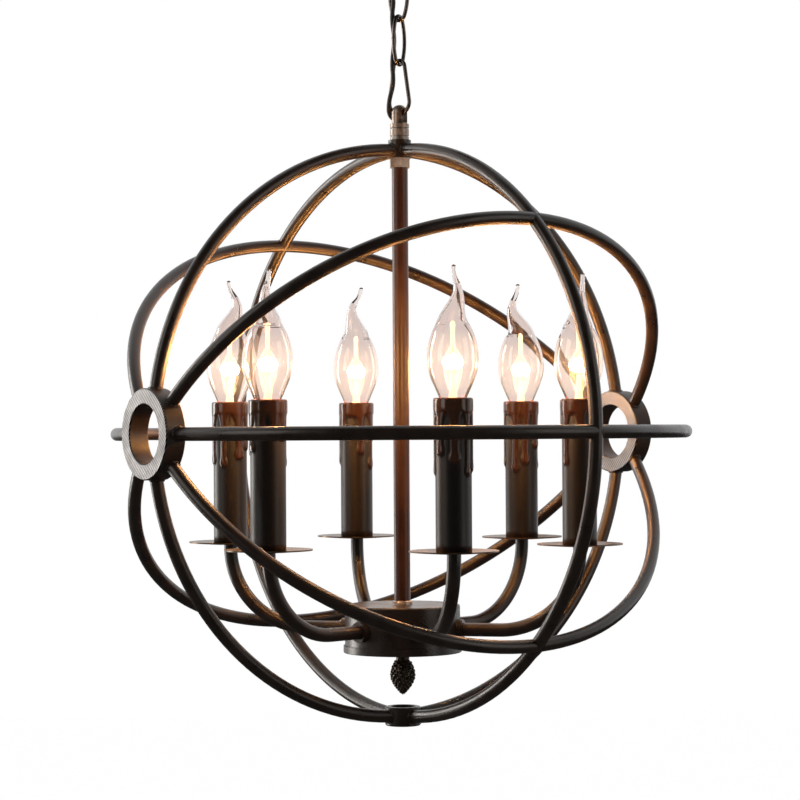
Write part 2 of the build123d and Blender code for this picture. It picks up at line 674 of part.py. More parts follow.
def flame_outline(wall):
    """Half outline of the clear envelope from its neck to where it bends, moved in by wall."""
    neck_r = GLASS_NECK_D / 2 - wall
    high_r = BELLY_HIGH_R - wall
    with BuildLine() as outline:
        low = CenterArc((GLASS_D / 2 - BELLY_LOW_R, glass_widest), BELLY_LOW_R - wall, -GLASS_FLARE, GLASS_FLARE)
        rise = degrees(asin((glass_bend - glass_widest) / high_r))
        high = CenterArc((GLASS_D / 2 - BELLY_HIGH_R, glass_widest), high_r, 0, rise)
        neck_top = (low @ 0).Y - ((low @ 0).X - neck_r) / tan(radians(GLASS_FLARE))
        Polyline(low @ 0, (neck_r, neck_top), (neck_r, glass_foot), (0, glass_foot), (0, glass_bend), high @ 1)
    return outline.line


def eased(share):
    """From 0 to 1 with a soft start and end."""
    held = min(max(share, 0), 1)
    return held ** 2 * (3 - 2 * held)


def tail_point(share, lean, end):
    """Centre of the bent flame at a share of its tail, in the plane that it bends in."""
    sway = lean * eased(share / TAIL_SWAY) + (end - lean) * eased((share - TAIL_SWAY) / (1 - TAIL_SWAY))
    return Vector(sway, 0, glass_bend + (FLAME_H - FLAME_BEND - TAIL_BEAD_D / 2) * share)


def flame(wall, reach, lean, end):
    """The flame shape moved in by wall, with its bent tail as far as a share of it."""
    end_r = TAIL_END_D / 2 - wall
    outline = flame_outline(wall)
    start_r = GLASS_D / 2 - BELLY_HIGH_R + ((BELLY_HIGH_R - wall) ** 2 - (glass_bend - glass_widest) ** 2) ** 0.5
    with BuildPart() as body:
        with BuildSketch(Plane.XZ):
            add(outline)
            make_face()
        revolve(axis=Axis.Z)
        for step in range(TAIL_STEPS + 1):
            share = reach * step / TAIL_STEPS
            nudge = 0.5 / TAIL_STEPS
            along = tail_point(share + nudge, lean, end) - tail_point(max(share - nudge, 0), lean, end)
            if step == 0:
                along = Vector(0, 0, 1)
            with BuildSketch(Plane(origin=tail_point(share, lean, end), x_dir=(0, 1, 0), z_dir=along)):
                Circle(end_r + (start_r - end_r) * (1 - share) ** TAIL_TAPER)
        loft()
    return body.part


for lamp in range(LAMPS):
    here = Pos(lamp_axis(lamp))
    bend_az, lean, end = TAILS[lamp]
    with BuildPart() as glass:
        add(flame(0, 1, lean, end))
        with Locations(tail_point(1, lean, end)):
            Sphere(TAIL_BEAD_D / 2)
        add(flame(GLASS_WALL, TAIL_HOLLOW, lean, end), mode=Mode.SUBTRACT)
    write(here * Rot(0, 0, bend_az) * glass.part, f"bulb_glass_{lamp + 1}")

    with BuildPart() as cap:
        with BuildSketch(Plane.XZ):
            with BuildLine():
                Polyline((0, CAP_TOP), (CAP_D / 2, CAP_TOP), (CAP_D / 2, CAP_FOOT + BUTTON_H),
                         (BUTTON_D / 2, CAP_FOOT + BUTTON_H / 3), (BUTTON_D / 2, CAP_FOOT), (0, CAP_FOOT),
                         close=True)
            make_face()
        revolve(axis=Axis.Z)
    write(here * cap.part, f"bulb_cap_{lamp + 1}")

# ================================================================== wiring
with BuildPart() as terminal_block:
    with BuildSketch(Plane.XY.offset(-BRACKET_T - BLOCK_H)):
        Rectangle(BLOCK_L, BLOCK_W)
    extrude(amount=BLOCK_H)
    with BuildSketch(Plane.XZ):
        with Locations((0, -BRACKET_T - BLOCK_H / 3)):
            with GridLocations(BLOCK_L / BLOCK_POLES, 0, BLOCK_POLES, 1):
                Circle(BLOCK_HOLE / 2)
    extrude(amount=BLOCK_W, both=True, mode=Mode.SUBTRACT)
write(terminal_block.part, "terminal_block")

with BuildPart() as connector:
    with BuildSketch(Plane.XY.offset(body_foot)):
        Rectangle(CONNECTOR_L, CONNECTOR_W)
    extrude(amount=CONNECTOR_H)
    fillet(edges().filter_by(Axis.Z), CONNECTOR_H / 8)
connector_x = CONNECTOR_X + CONNECTOR_L / 2
connectors = Compound(children=[Pos(side * connector_x, 0, 0) * connector.part for side in (-1, 1)])
write(connectors, "wire_connectors")


def cord(points, name):
    """A round cord along points, as straight runs joined by arcs as large as the runs allow."""
    runs = [points[i + 1] - points[i] for i in range(len(points) - 1)]
    radii = []
    for before, after in zip(runs, runs[1:]):
        half_turn = radians(before.get_angle(after)) / 2
        radii.append(0.45 * min(before.length, after.length) / tan(half_turn))
    with BuildPart() as tube:
        with BuildLine() as path:
            FilletPolyline(*points, radius=radii)
        with BuildSketch(Plane(origin=path.wire() @ 0, z_dir=path.wire() % 0)):
            Circle(FLEX_D / 2)
        sweep(path=path.wire())
    length = path.wire().length
    print(name, "length", round(length, 1), " radii", [round(r, 1) for r in radii],
          " volume / (section x length)", round(tube.part.volume / (pi * FLEX_D ** 2 / 4 * length), 4))
    return tube.part


# The flex leaves the terminal block, drops through the canopy loop, is threaded down beside the
# links and goes into the loop of the fixture. Each point is along the pear link's plane, across it,
# and up.
FLEX_ROUTE = (
    (0.0, 0.0, -11.5), (0.0, 0.0, -32.4), (-7.6, -2.0, -37.2), (-6.2, -5.4, -46.8), (-2.2, -2.8, -58.0),
    (-4.0, -4.0, -73.0), (-2.1, -2.4, -89.5), (-4.0, -4.0, -106.2), (-2.6, -3.3, -121.5),
    (-5.6, -5.8, -134.5), (-8.2, -2.0, -145.6), (0.0, 0.0, -150.2), (0.0, 0.0, -157.6),
)
flex_points = [chain_plane.from_local_coords(Vector(*point)) for point in FLEX_ROUTE]
write(cord(flex_points, "flex_cable"), "flex_cable")

# Below the loop the same flex runs down the stem, out of the nipple's window and into a connector.
STEM_ROUTE = ((0.0, 0.0, -157.6), (0.0, 0.0, -515.0), (17.0, 0.0, -524.5), (17.0, 0.0, -535.3))
stem_cable = cord([Vector(*point) for point in STEM_ROUTE], "stem_cable")
write(Compound(children=[stem_cable] + leads), "inner_wiring")
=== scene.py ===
"""Orb chandelier: its finishes, wax, welds, flex and lit bulbs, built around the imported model.
Metres, +Z up, origin at the middle of the bracket's ceiling face."""

import json
import math
import random

import bpy
from mathutils import Matrix, Vector


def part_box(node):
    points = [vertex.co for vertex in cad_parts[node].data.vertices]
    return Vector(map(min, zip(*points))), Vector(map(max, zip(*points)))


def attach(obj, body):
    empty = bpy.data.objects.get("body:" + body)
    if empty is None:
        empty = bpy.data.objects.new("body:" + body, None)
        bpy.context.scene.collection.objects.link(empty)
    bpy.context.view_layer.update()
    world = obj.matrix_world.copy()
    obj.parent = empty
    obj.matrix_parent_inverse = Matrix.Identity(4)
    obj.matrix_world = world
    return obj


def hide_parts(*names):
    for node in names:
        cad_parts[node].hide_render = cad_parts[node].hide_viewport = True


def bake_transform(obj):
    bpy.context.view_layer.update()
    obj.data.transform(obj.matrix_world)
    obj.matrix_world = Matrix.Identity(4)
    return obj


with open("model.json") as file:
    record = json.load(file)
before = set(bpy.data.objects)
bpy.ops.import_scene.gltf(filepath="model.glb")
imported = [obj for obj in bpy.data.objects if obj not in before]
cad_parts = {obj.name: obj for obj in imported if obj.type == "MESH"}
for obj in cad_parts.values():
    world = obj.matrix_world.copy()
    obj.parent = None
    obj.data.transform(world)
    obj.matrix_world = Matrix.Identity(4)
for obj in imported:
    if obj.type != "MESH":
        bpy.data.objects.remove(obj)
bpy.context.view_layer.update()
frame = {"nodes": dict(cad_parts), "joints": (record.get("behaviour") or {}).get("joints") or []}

# ------------------------------------------------------------------ camera
# The photograph looks at the cage from its own height, about 35 degrees round from the front,
# through a long lens. The middle and the radius of the cage are read from the right hub.
hub_low, hub_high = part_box("hub_right")
orb = Vector((0.0, 0.0, (hub_low.z + hub_high.z) / 2))
ring_radius = (hub_low.x + hub_high.x) / 2

view_turn = math.radians(-34.98)
look_up = math.radians(0.753)
camera_roll = 0.006
camera_distance = 8.5 * ring_radius
level_right = Vector((math.cos(view_turn), math.sin(view_turn), 0.0))
level_ahead = Vector((-math.sin(view_turn), math.cos(view_turn), 0.0))
ahead = level_ahead * math.cos(look_up) + Vector((0.0, 0.0, math.sin(look_up)))
upward = level_right.cross(ahead)
camera_right = level_right * math.cos(camera_roll) - upward * math.sin(camera_roll)
camera_up = camera_right.cross(ahead)
camera_offset = Vector((-0.0007, 0.0005, 0.00085))

camera_data = bpy.data.cameras.new("camera")
camera_data.sensor_width = 36.0
camera_data.lens = 108.0
camera = bpy.data.objects.new("camera", camera_data)
camera_place = orb - level_ahead * camera_distance + camera_offset
camera.matrix_world = Matrix((
    (camera_right.x, camera_up.x, -ahead.x, camera_place.x),
    (camera_right.y, camera_up.y, -ahead.y, camera_place.y),
    (camera_right.z, camera_up.z, -ahead.z, camera_place.z),
    (0.0, 0.0, 0.0, 1.0),
))
bpy.context.scene.collection.objects.link(camera)
bpy.context.scene.camera = camera

# ------------------------------------------------------------------ flex
# A round black flex of 3.4 mm leaves the terminal block, drops through the canopy's loop, is threaded
# down beside the links and goes into the loop of the fixture. Each point of its route is along the
# pear link's plane, across it, and up. It is cut in four at the middles of the links, which swing.
CHAIN_TURN = math.radians(-67.0)
FLEX_DIAMETER = 0.0034
FLEX_ROUTE = (
    (0.0, 0.0, -0.0115), (0.0, 0.0, -0.0324), (-0.0076, -0.0020, -0.0372), (-0.0062, -0.0054, -0.0468),
    (-0.0022, -0.0028, -0.0580), (-0.0040, -0.0040, -0.0730), (-0.0021, -0.0024, -0.0895),
    (-0.0040, -0.0040, -0.1062), (-0.0026, -0.0033, -0.1215), (-0.0056, -0.0058, -0.1345),
    (-0.0082, -0.0020, -0.1456), (0.0, 0.0, -0.1502), (0.0, 0.0, -0.1576),
)
chain_along = Vector((math.cos(CHAIN_TURN), math.sin(CHAIN_TURN), 0.0))
chain_across = Vector((-math.sin(CHAIN_TURN), math.cos(CHAIN_TURN), 0.0))


def curve_points(route, resolution):
    """Points read from a smooth curve that has the route's points as its control points."""
    data = bpy.data.curves.new("route", "CURVE")
    data.dimensions = "3D"
    data.resolution_u = resolution
    spline = data.splines.new("NURBS")
    spline.points.add(len(route) - 1)
    for target, place in zip(spline.points, route):
        target.co = (*place, 1.0)
    spline.order_u = 3
    spline.use_endpoint_u = True
    holder = bpy.data.objects.new("route", data)
    mesh = bpy.data.meshes.new_from_object(holder)
    places = [vertex.co.copy() for vertex in mesh.vertices]
    bpy.data.objects.remove(holder)
    bpy.data.meshes.remove(mesh)
    return places


def tube_rings(places, radius, sides, closed=False):
    """Vertices and faces of a round tube along places. radius is one number or one for each place."""
    count = len(places)
    radii = radius if hasattr(radius, "__len__") else [radius] * count
    vertices, faces = [], []
    side = None
    for i, place in enumerate(places):
        before = places[i - 1] if (i or closed) else places[i]
        after = places[(i + 1) % count] if (closed or i + 1 < count) else places[i]
        along = (after - before).normalized()
        if side is None:
            side = along.orthogonal().normalized()
        side = (side - along * side.dot(along)).normalized()
        other = along.cross(side)
        for k in range(sides):
            turn = 2 * math.pi * k / sides
            vertices.append(place + (side * math.cos(turn) + other * math.sin(turn)) * radii[i])
    for i in range(count if closed else count - 1):
        for k in range(sides):
            a, b = i * sides + k, i * sides + (k + 1) % sides
            c, d = (i + 1) % count * sides + (k + 1) % sides, (i + 1) % count * sides + k
            faces.append((a, b, c, d))
    if not closed:
        faces.append(tuple(reversed(range(sides))))
        faces.append(tuple(range((count - 1) * sides, count * sides)))
    return vertices, faces


def make_mesh_object(name, vertices, faces, material):
    mesh = bpy.data.meshes.new(name)
    mesh.from_pydata([tuple(v) for v in vertices], [], faces)
    mesh.update()
    mesh.shade_smooth()
    mesh.materials.append(material)
    made = bpy.data.objects.new(name, mesh)
    bpy.context.scene.collection.objects.link(made)
    return made


def start_material(name):
    """A new material with its Principled shader ready to be set."""
    material = bpy.data.materials.new(name)
    material.use_nodes = True
    tree = material.node_tree
    return material, tree.nodes, tree.links, tree.nodes["Principled BSDF"]


def start_group(name, inputs, outputs):
    """An empty shader node group. inputs and outputs are (name, socket type, value) and (name, type)."""
    group = bpy.data.node_groups.new(name, "ShaderNodeTree")
    for label, kind, value in inputs:
        socket = group.interface.new_socket(label, in_out="INPUT", socket_type=kind)
        socket.default_value = value
    for label, kind in outputs:
        group.interface.new_socket(label, in_out="OUTPUT", socket_type=kind)
    given, out = group.nodes.new("NodeGroupInput"), group.nodes.new("NodeGroupOutput")
    return group, group.nodes, group.links, given, out


def feed(links, socket, value):
    """Links value to the socket where it is an output, and sets it there where it is a constant."""
    if isinstance(value, bpy.types.NodeSocket):
        links.new(value, socket)
    else:
        socket.default_value = value


def add_math(nodes, links, operation, *values):
    node = nodes.new("ShaderNodeMath")
    node.operation = operation
    for socket, value in zip(node.inputs, values):
        feed(links, socket, value)
    return node.outputs[0]


def add_range(nodes, links, value, low, high, start=0.0, end=1.0, shape="LINEAR"):
    """value, which runs from start to end, spread between low and high."""
    spread = nodes.new("ShaderNodeMapRange")
    spread.interpolation_type = shape
    feed(links, spread.inputs["Value"], value)
    feed(links, spread.inputs["From Min"], start)
    feed(links, spread.inputs["From Max"], end)
    feed(links, spread.inputs["To Min"], low)
    feed(links, spread.inputs["To Max"], high)
    return spread.outputs[0]


def add_colour_mix(nodes, links, factor, first, second, blend="MIX"):
    mix = nodes.new("ShaderNodeMix")
    mix.data_type = "RGBA"
    mix.blend_type = blend
    feed(links, mix.inputs["Factor"], factor)
    feed(links, mix.inputs["A"], first)
    feed(links, mix.inputs["B"], second)
    return mix.outputs["Result"]


def build_mottle():
    """Cloudy change between two colours, as paint, plating and patina have it, with its mask."""
    group, nodes, links, given, out = start_group(
        "cloudy_mottle",
        [("Scale", "NodeSocketFloat", 40.0), ("Contrast", "NodeSocketFloat", 0.5),
         ("Dark", "NodeSocketColor", (0.02, 0.02, 0.02, 1)),
         ("Light", "NodeSocketColor", (0.1, 0.1, 0.1, 1))],
        [("Color", "NodeSocketColor"), ("Mask", "NodeSocketFloat")])
    where = nodes.new("ShaderNodeTexCoord")
    noise = nodes.new("ShaderNodeTexNoise")
    noise.inputs["Detail"].default_value = 6.0
    noise.inputs["Roughness"].default_value = 0.62
    links.new(where.outputs["Object"], noise.inputs["Vector"])
    links.new(given.outputs["Scale"], noise.inputs["Scale"])
    low = add_math(nodes, links, "MULTIPLY", given.outputs["Contrast"], 0.5)
    high = add_math(nodes, links, "SUBTRACT", 1.0, low)
    mask = add_range(nodes, links, noise.outputs["Fac"], 0.0, 1.0, start=low, end=high)
    mixed = add_colour_mix(nodes, links, mask, given.outputs["Dark"], given.outputs["Light"])
    links.new(mixed, out.inputs["Color"])
    links.new(mask, out.inputs["Mask"])
    return group


def build_skin():
    """The fine unevenness of a painted, cast or moulded skin, as a normal."""
    group, nodes, links, given, out = start_group(
        "fine_skin",
        [("Scale", "NodeSocketFloat", 900.0), ("Depth", "NodeSocketFloat", 0.0001)],
        [("Normal", "NodeSocketVector")])
    where = nodes.new("ShaderNodeTexCoord")
    noise = nodes.new("ShaderNodeTexNoise")
    noise.inputs["Detail"].default_value = 3.0
    bump = nodes.new("ShaderNodeBump")
    bump.inputs["Strength"].default_value = 0.6
    links.new(where.outputs["Object"], noise.inputs["Vector"])
    links.new(given.outputs["Scale"], noise.inputs["Scale"])
    links.new(noise.outputs["Fac"], bump.inputs["Height"])
    links.new(given.outputs["Depth"], bump.inputs["Distance"])
    links.new(bump.outputs["Normal"], out.inputs["Normal"])
    return group


mottle_group = build_mottle()
skin_group = build_skin()


def add_group(nodes, group, **values):
    """A node of the group with its inputs set."""
    node = nodes.new("ShaderNodeGroup")
    node.node_tree = group
    for label, value in values.items():
        node.inputs[label].default_value = value
    return node


def add_mottle(nodes, scale, contrast, dark, light):
    return add_group(nodes, mottle_group, Scale=scale, Contrast=contrast,
                     Dark=(*dark, 1.0), Light=(*light, 1.0))


def add_skin(nodes, scale, depth):
    return add_group(nodes, skin_group, Scale=scale, Depth=depth).outputs["Normal"]


def mottled_finish(name, dark, light, rough, metal=0.0, scale=40.0, contrast=0.6, skin=(900.0, 0.0001),
                   specular=0.5):
    """A finish with cloudy colour, uneven gloss and a fine skin. rough is its lowest and highest."""
    material, nodes, links, shader = start_material(name)
    mottle = add_mottle(nodes, scale, contrast, dark, light)
    links.new(mottle.outputs["Color"], shader.inputs["Base Color"])
    links.new(add_range(nodes, links, mottle.outputs["Mask"], *rough), shader.inputs["Roughness"])
    links.new(add_skin(nodes, *skin), shader.inputs["Normal"])
    shader.inputs["Metallic"].default_value = metal
    shader.inputs["Specular IOR Level"].default_value = specular
    return material


flex_black = mottled_finish("flex_black", (0.012, 0.012, 0.012), (0.024, 0.023, 0.022), (0.42, 0.6),
                            scale=160.0, skin=(1400.0, 0.00006))
flex_route = [chain_along * u + chain_across * v + Vector((0, 0, z)) for u, v, z in FLEX_ROUTE]
flex_line = curve_points(flex_route, 14)


def chain_middle(node):
    low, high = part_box(node)
    return (low.z + high.z) / 2


flex_cuts = [chain_middle(name) for name in ("chain_link_upper", "chain_link_lower", "pear_link")]
flex_bodies = ["ceiling", "upper_link", "lower_link", "pear", "fixture"]
for i, (upper_body, lower_body) in enumerate(zip(flex_bodies, flex_bodies[1:])):
    top = flex_cuts[i - 1] if i else flex_line[0].z
    foot = flex_cuts[i] if i < len(flex_cuts) else flex_line[-1].z
    first = min(range(len(flex_line)), key=lambda k: abs(flex_line[k].z - top))
    last = min(range(len(flex_line)), key=lambda k: abs(flex_line[k].z - foot))
    run = flex_line[first:last + 1]
    section = make_mesh_object(f"flex_{i + 1}", *tube_rings(run, FLEX_DIAMETER / 2, 20), flex_black)
    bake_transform(section)
    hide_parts("flex_cable")

# ------------------------------------------------------------------ room and light
# The camera and the glass see plain white. Glossy finishes see white only behind the lamp and a dark
# room elsewhere. Soft boxes stand left, right and behind on the left, where the photograph's long white
# glints come from.
FLOOR_DROP = 1.25
FLOOR_RADIUS = 9.0
FLOOR_SIDES = 64
WHITE_SHARE = 0.995
FRONT_GLOSS = 0.045                     # how bright the dark room is in a gloss
AMBIENT = 0.21
WHITE_FROM, WHITE_TO = -0.15, 0.25      # how far behind the lamp the white starts and is full


def blend_surfaces(nodes, links, share, first, second, output):
    """Sends the output the second surface by share, and the first for the rest."""
    mix = nodes.new("ShaderNodeMixShader")
    links.new(share, mix.inputs["Fac"])
    links.new(first.outputs[0], mix.inputs[1])
    links.new(second.outputs[0], mix.inputs[2])
    links.new(mix.outputs[0], output.inputs["Surface"])


def build_floor_pale():
    """A pale floor that glows white for the camera and the glass, and faintly for a gloss."""
    material, nodes, links, shader = start_material("floor_pale")
    mottle = add_mottle(nodes, 3.0, 0.4, (0.80, 0.79, 0.78), (0.84, 0.83, 0.82))
    links.new(mottle.outputs["Color"], shader.inputs["Base Color"])
    shader.inputs["Roughness"].default_value = 0.9
    ray = nodes.new("ShaderNodeLightPath").outputs
    clear = add_math(nodes, links, "MAXIMUM", ray["Is Camera Ray"], ray["Is Transmission Ray"])
    seen = add_math(nodes, links, "MAXIMUM", clear, ray["Is Glossy Ray"])
    share = add_math(nodes, links, "MULTIPLY", seen, WHITE_SHARE)
    glow = nodes.new("ShaderNodeEmission")
    glow.inputs["Color"].default_value = (1.0, 1.0, 1.0, 1.0)
    links.new(add_range(nodes, links, ray["Is Glossy Ray"], 1.0, FRONT_GLOSS), glow.inputs["Strength"])
    blend_surfaces(nodes, links, share, shader, glow, nodes["Material Output"])
    return material


def build_studio():
    """A sky that is white to the camera and the glass, and to a gloss behind the lamp, else dim."""
    world = bpy.data.worlds.new("studio")
    world.use_nodes = True
    nodes, links = world.node_tree.nodes, world.node_tree.links
    dim = nodes["Background"]
    dim.inputs["Color"].default_value = (1.0, 0.90, 0.80, 1.0)
    white = nodes.new("ShaderNodeBackground")
    white.inputs["Color"].default_value = (1.0, 1.0, 1.0, 1.0)
    white.inputs["Strength"].default_value = 1.0
    ray = nodes.new("ShaderNodeLightPath").outputs
    links.new(add_range(nodes, links, ray["Is Glossy Ray"], AMBIENT, FRONT_GLOSS), dim.inputs["Strength"])
    where = nodes.new("ShaderNodeTexCoord")
    toward = nodes.new("ShaderNodeVectorMath")
    toward.operation = "DOT_PRODUCT"
    toward.inputs[1].default_value = level_ahead
    links.new(where.outputs["Generated"], toward.inputs[0])
    behind = add_range(nodes, links, toward.outputs["Value"], 0.0, 1.0, start=WHITE_FROM, end=WHITE_TO)
    gloss = add_math(nodes, links, "MULTIPLY", behind, ray["Is Glossy Ray"])
    clear = add_math(nodes, links, "MAXIMUM", ray["Is Camera Ray"], ray["Is Transmission Ray"])
    share = add_math(nodes, links, "MAXIMUM", gloss, clear)
    blend_surfaces(nodes, links, share, dim, white, nodes["World Output"])
    return world


rim = [Vector((orb.x + FLOOR_RADIUS * math.cos(a), orb.y + FLOOR_RADIUS * math.sin(a), orb.z - FLOOR_DROP))
       for a in (2 * math.pi * k / FLOOR_SIDES for k in range(FLOOR_SIDES))]
floor = make_mesh_object("floor", rim, [tuple(range(FLOOR_SIDES))], build_floor_pale())
bpy.context.scene.world = build_studio()
bpy.context.scene.view_settings.view_transform = "Standard"


SOFT_BOX_COLOUR = (1.0, 0.94, 0.87)


def soft_box(name, right, front, up, width, height, power):
    """A soft box at a place given from the camera's side, turned to the middle of the cage."""
    data = bpy.data.lights.new(name, "AREA")
    data.shape = "RECTANGLE"
    data.size, data.size_y = width, height
    data.energy = power
    data.color = SOFT_BOX_COLOUR
    box = bpy.data.objects.new(name, data)
    box.location = orb + level_right * right - level_ahead * front + Vector((0, 0, up))
    box.rotation_mode = "QUATERNION"
    box.rotation_quaternion = (orb - box.location).to_track_quat("-Z", "Y")
    bpy.context.scene.collection.objects.link(box)


soft_box("soft_box_left", -1.8, 1.1, 0.7, 0.9, 1.6, 10.0)
soft_box("soft_box_right", 1.9, 1.0, 0.4, 0.9, 1.6, 6.0)
soft_box("glint_box_left", -1.7, -0.75, 0.1, 0.45, 1.7, 24.0)

# ------------------------------------------------------------------ ceiling fitting
# A zinc-plated strip screwed to the ceiling, with two studs that carry the pressed canopy under two
# cap nuts. The canopy and its loop are painted like the cage.
def dress(material, *names):
    """Gives CAD nodes their material."""
    for name in names:
        mesh = frame["nodes"][name].data
        mesh.materials.clear()
        mesh.materials.append(material)


zinc = mottled_finish("zinc", (0.42, 0.41, 0.37), (0.62, 0.61, 0.58), (0.3, 0.5), metal=1.0, scale=220.0)
dress(zinc, "ceiling_bracket", "canopy_screws", "loop_nut", "top_nipple", "bottom_nipple", "holder_brackets")

PAINT_DARK = (0.0110, 0.0068, 0.0050)
PAINT_LIGHT = (0.0225, 0.0135, 0.0092)
# Stoved black-brown paint on steel: cloudy, softly glossy, with fine specks of dust.
black_iron = mottled_finish("black_iron", PAINT_DARK, PAINT_LIGHT, (0.26, 0.38), scale=55.0, contrast=0.7,
                            skin=(1100.0, 0.00012), specular=0.62)
dress(black_iron, "canopy", "canopy_loop", "cap_nuts")

terminal_white = mottled_finish("terminal_white", (0.62, 0.61, 0.57), (0.72, 0.71, 0.67), (0.35, 0.5))
dress(terminal_white, "terminal_block")

# ------------------------------------------------------------------ chain
# Three links of dark bronzed wire: two long ones and a pear-shaped one. Each was closed with a
# butt weld, which stands out as a small burr on one side.
chain_bronze = mottled_finish("chain_bronze", (0.060, 0.050, 0.044), (0.220, 0.190, 0.175), (0.2, 0.34),
                              metal=1.0, scale=90.0, contrast=0.5, skin=(1500.0, 0.00006))
dress(chain_bronze, "chain_link_upper", "chain_link_lower", "pear_link")
LINK_WIRE = 0.0029
BURR_WIDTH = 0.0006
BURR_RISE = 0.0003
LOWER_LINK_WELD = Vector((0, 0, -0.0885)) - 0.00755 * chain_across
PEAR_LINK_WELD = Vector((0, 0, -0.1134)) - 0.00545 * chain_along


def butt_weld(name, body, place):
    """A burr round a link's upright wire, whose centre line passes through place."""
    places = [place + Vector((0, 0, step * BURR_WIDTH)) for step in (-1.0, -0.5, 0.0, 0.5, 1.0)]
    swell = [LINK_WIRE / 2 + BURR_RISE * lift for lift in (-0.3, 0.7, 1.0, 0.7, -0.3)]
    burr = make_mesh_object(name, *tube_rings(places, swell, 24), chain_bronze)
    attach(burr, body)


butt_weld("lower_link_weld", "lower_link", LOWER_LINK_WELD)
butt_weld("pear_link_weld", "pear", PEAR_LINK_WELD)

# ------------------------------------------------------------------ loop, collars and nut
# The fixture hangs by a slotted loop of nickelled brass on a grooved collar. The painted collar that
# the rings are welded to is clamped between it and a bright hexagon nut.
nickel = mottled_finish("nickel", (0.20, 0.165, 0.14), (0.40, 0.35, 0.31), (0.28, 0.42), metal=0.6,
                        scale=260.0, contrast=0.4)
nickel_brown = mottled_finish("nickel_brown", (0.14, 0.105, 0.085), (0.36, 0.30, 0.26), (0.26, 0.4),
                              metal=0.7, scale=150.0, contrast=0.7)
dress(nickel, "loop_collar", "stem_nut")
dress(nickel_brown, "loop_fitting")
dress(black_iron, "top_collar")

# ------------------------------------------------------------------ stem
# A straight steel tube from the nut down to the drum, its paint rubbed along its length. Its colour is a
# warmer orange brown than the cage's: partly the paint's own brown, partly painted glow of the lamps' warm
# light.
stem_brown_and_lamp_glow = mottled_finish("stem_brown_and_lamp_glow", (0.023, 0.0080, 0.0032), (0.044, 0.0155, 0.0062), (0.28, 0.4),
                            scale=30.0, contrast=0.6)
dress(stem_brown_and_lamp_glow, "stem_tube")

# ------------------------------------------------------------------ hubs
# Two rings sawn from thick tube. Their cut faces keep the saw's slanting lines under a thin dark
# lacquer and shine like metal. Their round sides are painted like the bars.
SAW_ANGLE = math.radians(-38.0)
SAW_PITCH = 0.0019
WAVE_PERIOD = 2 * math.pi / 20          # of a wave texture of scale 1
STEEL_DARK = (0.12, 0.117, 0.118)
STEEL_LIGHT = (0.23, 0.225, 0.227)


def build_hub_iron():
    """Paint on the round side. On the cut faces, dark metal under slanting lines with ridges."""
    material, nodes, links, shader = start_material("hub_iron")
    where = nodes.new("ShaderNodeTexCoord")
    facing = nodes.new("ShaderNodeSeparateXYZ")
    links.new(where.outputs["Normal"], facing.inputs[0])
    flat = add_math(nodes, links, "ABSOLUTE", facing.outputs["X"])
    cut_face = add_math(nodes, links, "GREATER_THAN", flat, 0.6)
    turned = nodes.new("ShaderNodeMapping")
    turned.inputs["Rotation"].default_value = (SAW_ANGLE, 0.0, 0.0)
    saw = nodes.new("ShaderNodeTexWave")
    saw.bands_direction = "Y"
    saw.inputs["Scale"].default_value = WAVE_PERIOD / SAW_PITCH
    saw.inputs["Distortion"].default_value = 2.0
    saw.inputs["Detail"].default_value = 2.5
    saw.inputs["Detail Scale"].default_value = 0.35
    links.new(where.outputs["Object"], turned.inputs["Vector"])
    links.new(turned.outputs[0], saw.inputs["Vector"])
    paint = add_mottle(nodes, 60.0, 0.7, PAINT_DARK, PAINT_LIGHT)
    steel = add_mottle(nodes, 180.0, 0.5, STEEL_DARK, STEEL_LIGHT)
    lined = add_colour_mix(nodes, links, 0.95, steel.outputs["Color"], saw.outputs["Color"], blend="MULTIPLY")
    colour = add_colour_mix(nodes, links, cut_face, paint.outputs["Color"], lined)
    links.new(colour, shader.inputs["Base Color"])
    links.new(cut_face, shader.inputs["Metallic"])
    links.new(add_range(nodes, links, paint.outputs["Mask"], 0.34, 0.46), shader.inputs["Roughness"])
    bump = nodes.new("ShaderNodeBump")
    bump.inputs["Strength"].default_value = 0.5
    bump.inputs["Distance"].default_value = 0.00012
    links.new(add_math(nodes, links, "MULTIPLY", saw.outputs["Fac"], cut_face), bump.inputs["Height"])
    links.new(add_skin(nodes, 1100.0, 0.0001), bump.inputs["Normal"])
    links.new(bump.outputs["Normal"], shader.inputs["Normal"])
    return material


hub_iron = build_hub_iron()
dress(hub_iron, "hub_left", "hub_right")

# ------------------------------------------------------------------ rings and welds
# Five rings of round bar, each in two halves, coped to what they meet and welded there. The welds
# are low lumpy beads, painted over with the bars.
RING_NODES = (
    "horizontal_ring_front", "horizontal_ring_back", "main_ring_upper", "main_ring_lower",
    "cross_ring_front", "cross_ring_back", "tilted_ring_a_upper", "tilted_ring_a_lower",
    "tilted_ring_b_upper", "tilted_ring_b_lower",
)
dress(black_iron, *RING_NODES, "bottom_collar")
bar_radius = (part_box("horizontal_ring_front")[1].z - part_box("horizontal_ring_front")[0].z) / 2
hub_radius = (hub_high.z - hub_low.z) / 2
WELD_STEPS = 40
WELD_RADIUS = 0.0009
CROSSING_WELD_RADIUS = 0.0006
CROSSING_GIRTH = 0.86
welds = random.Random(7)


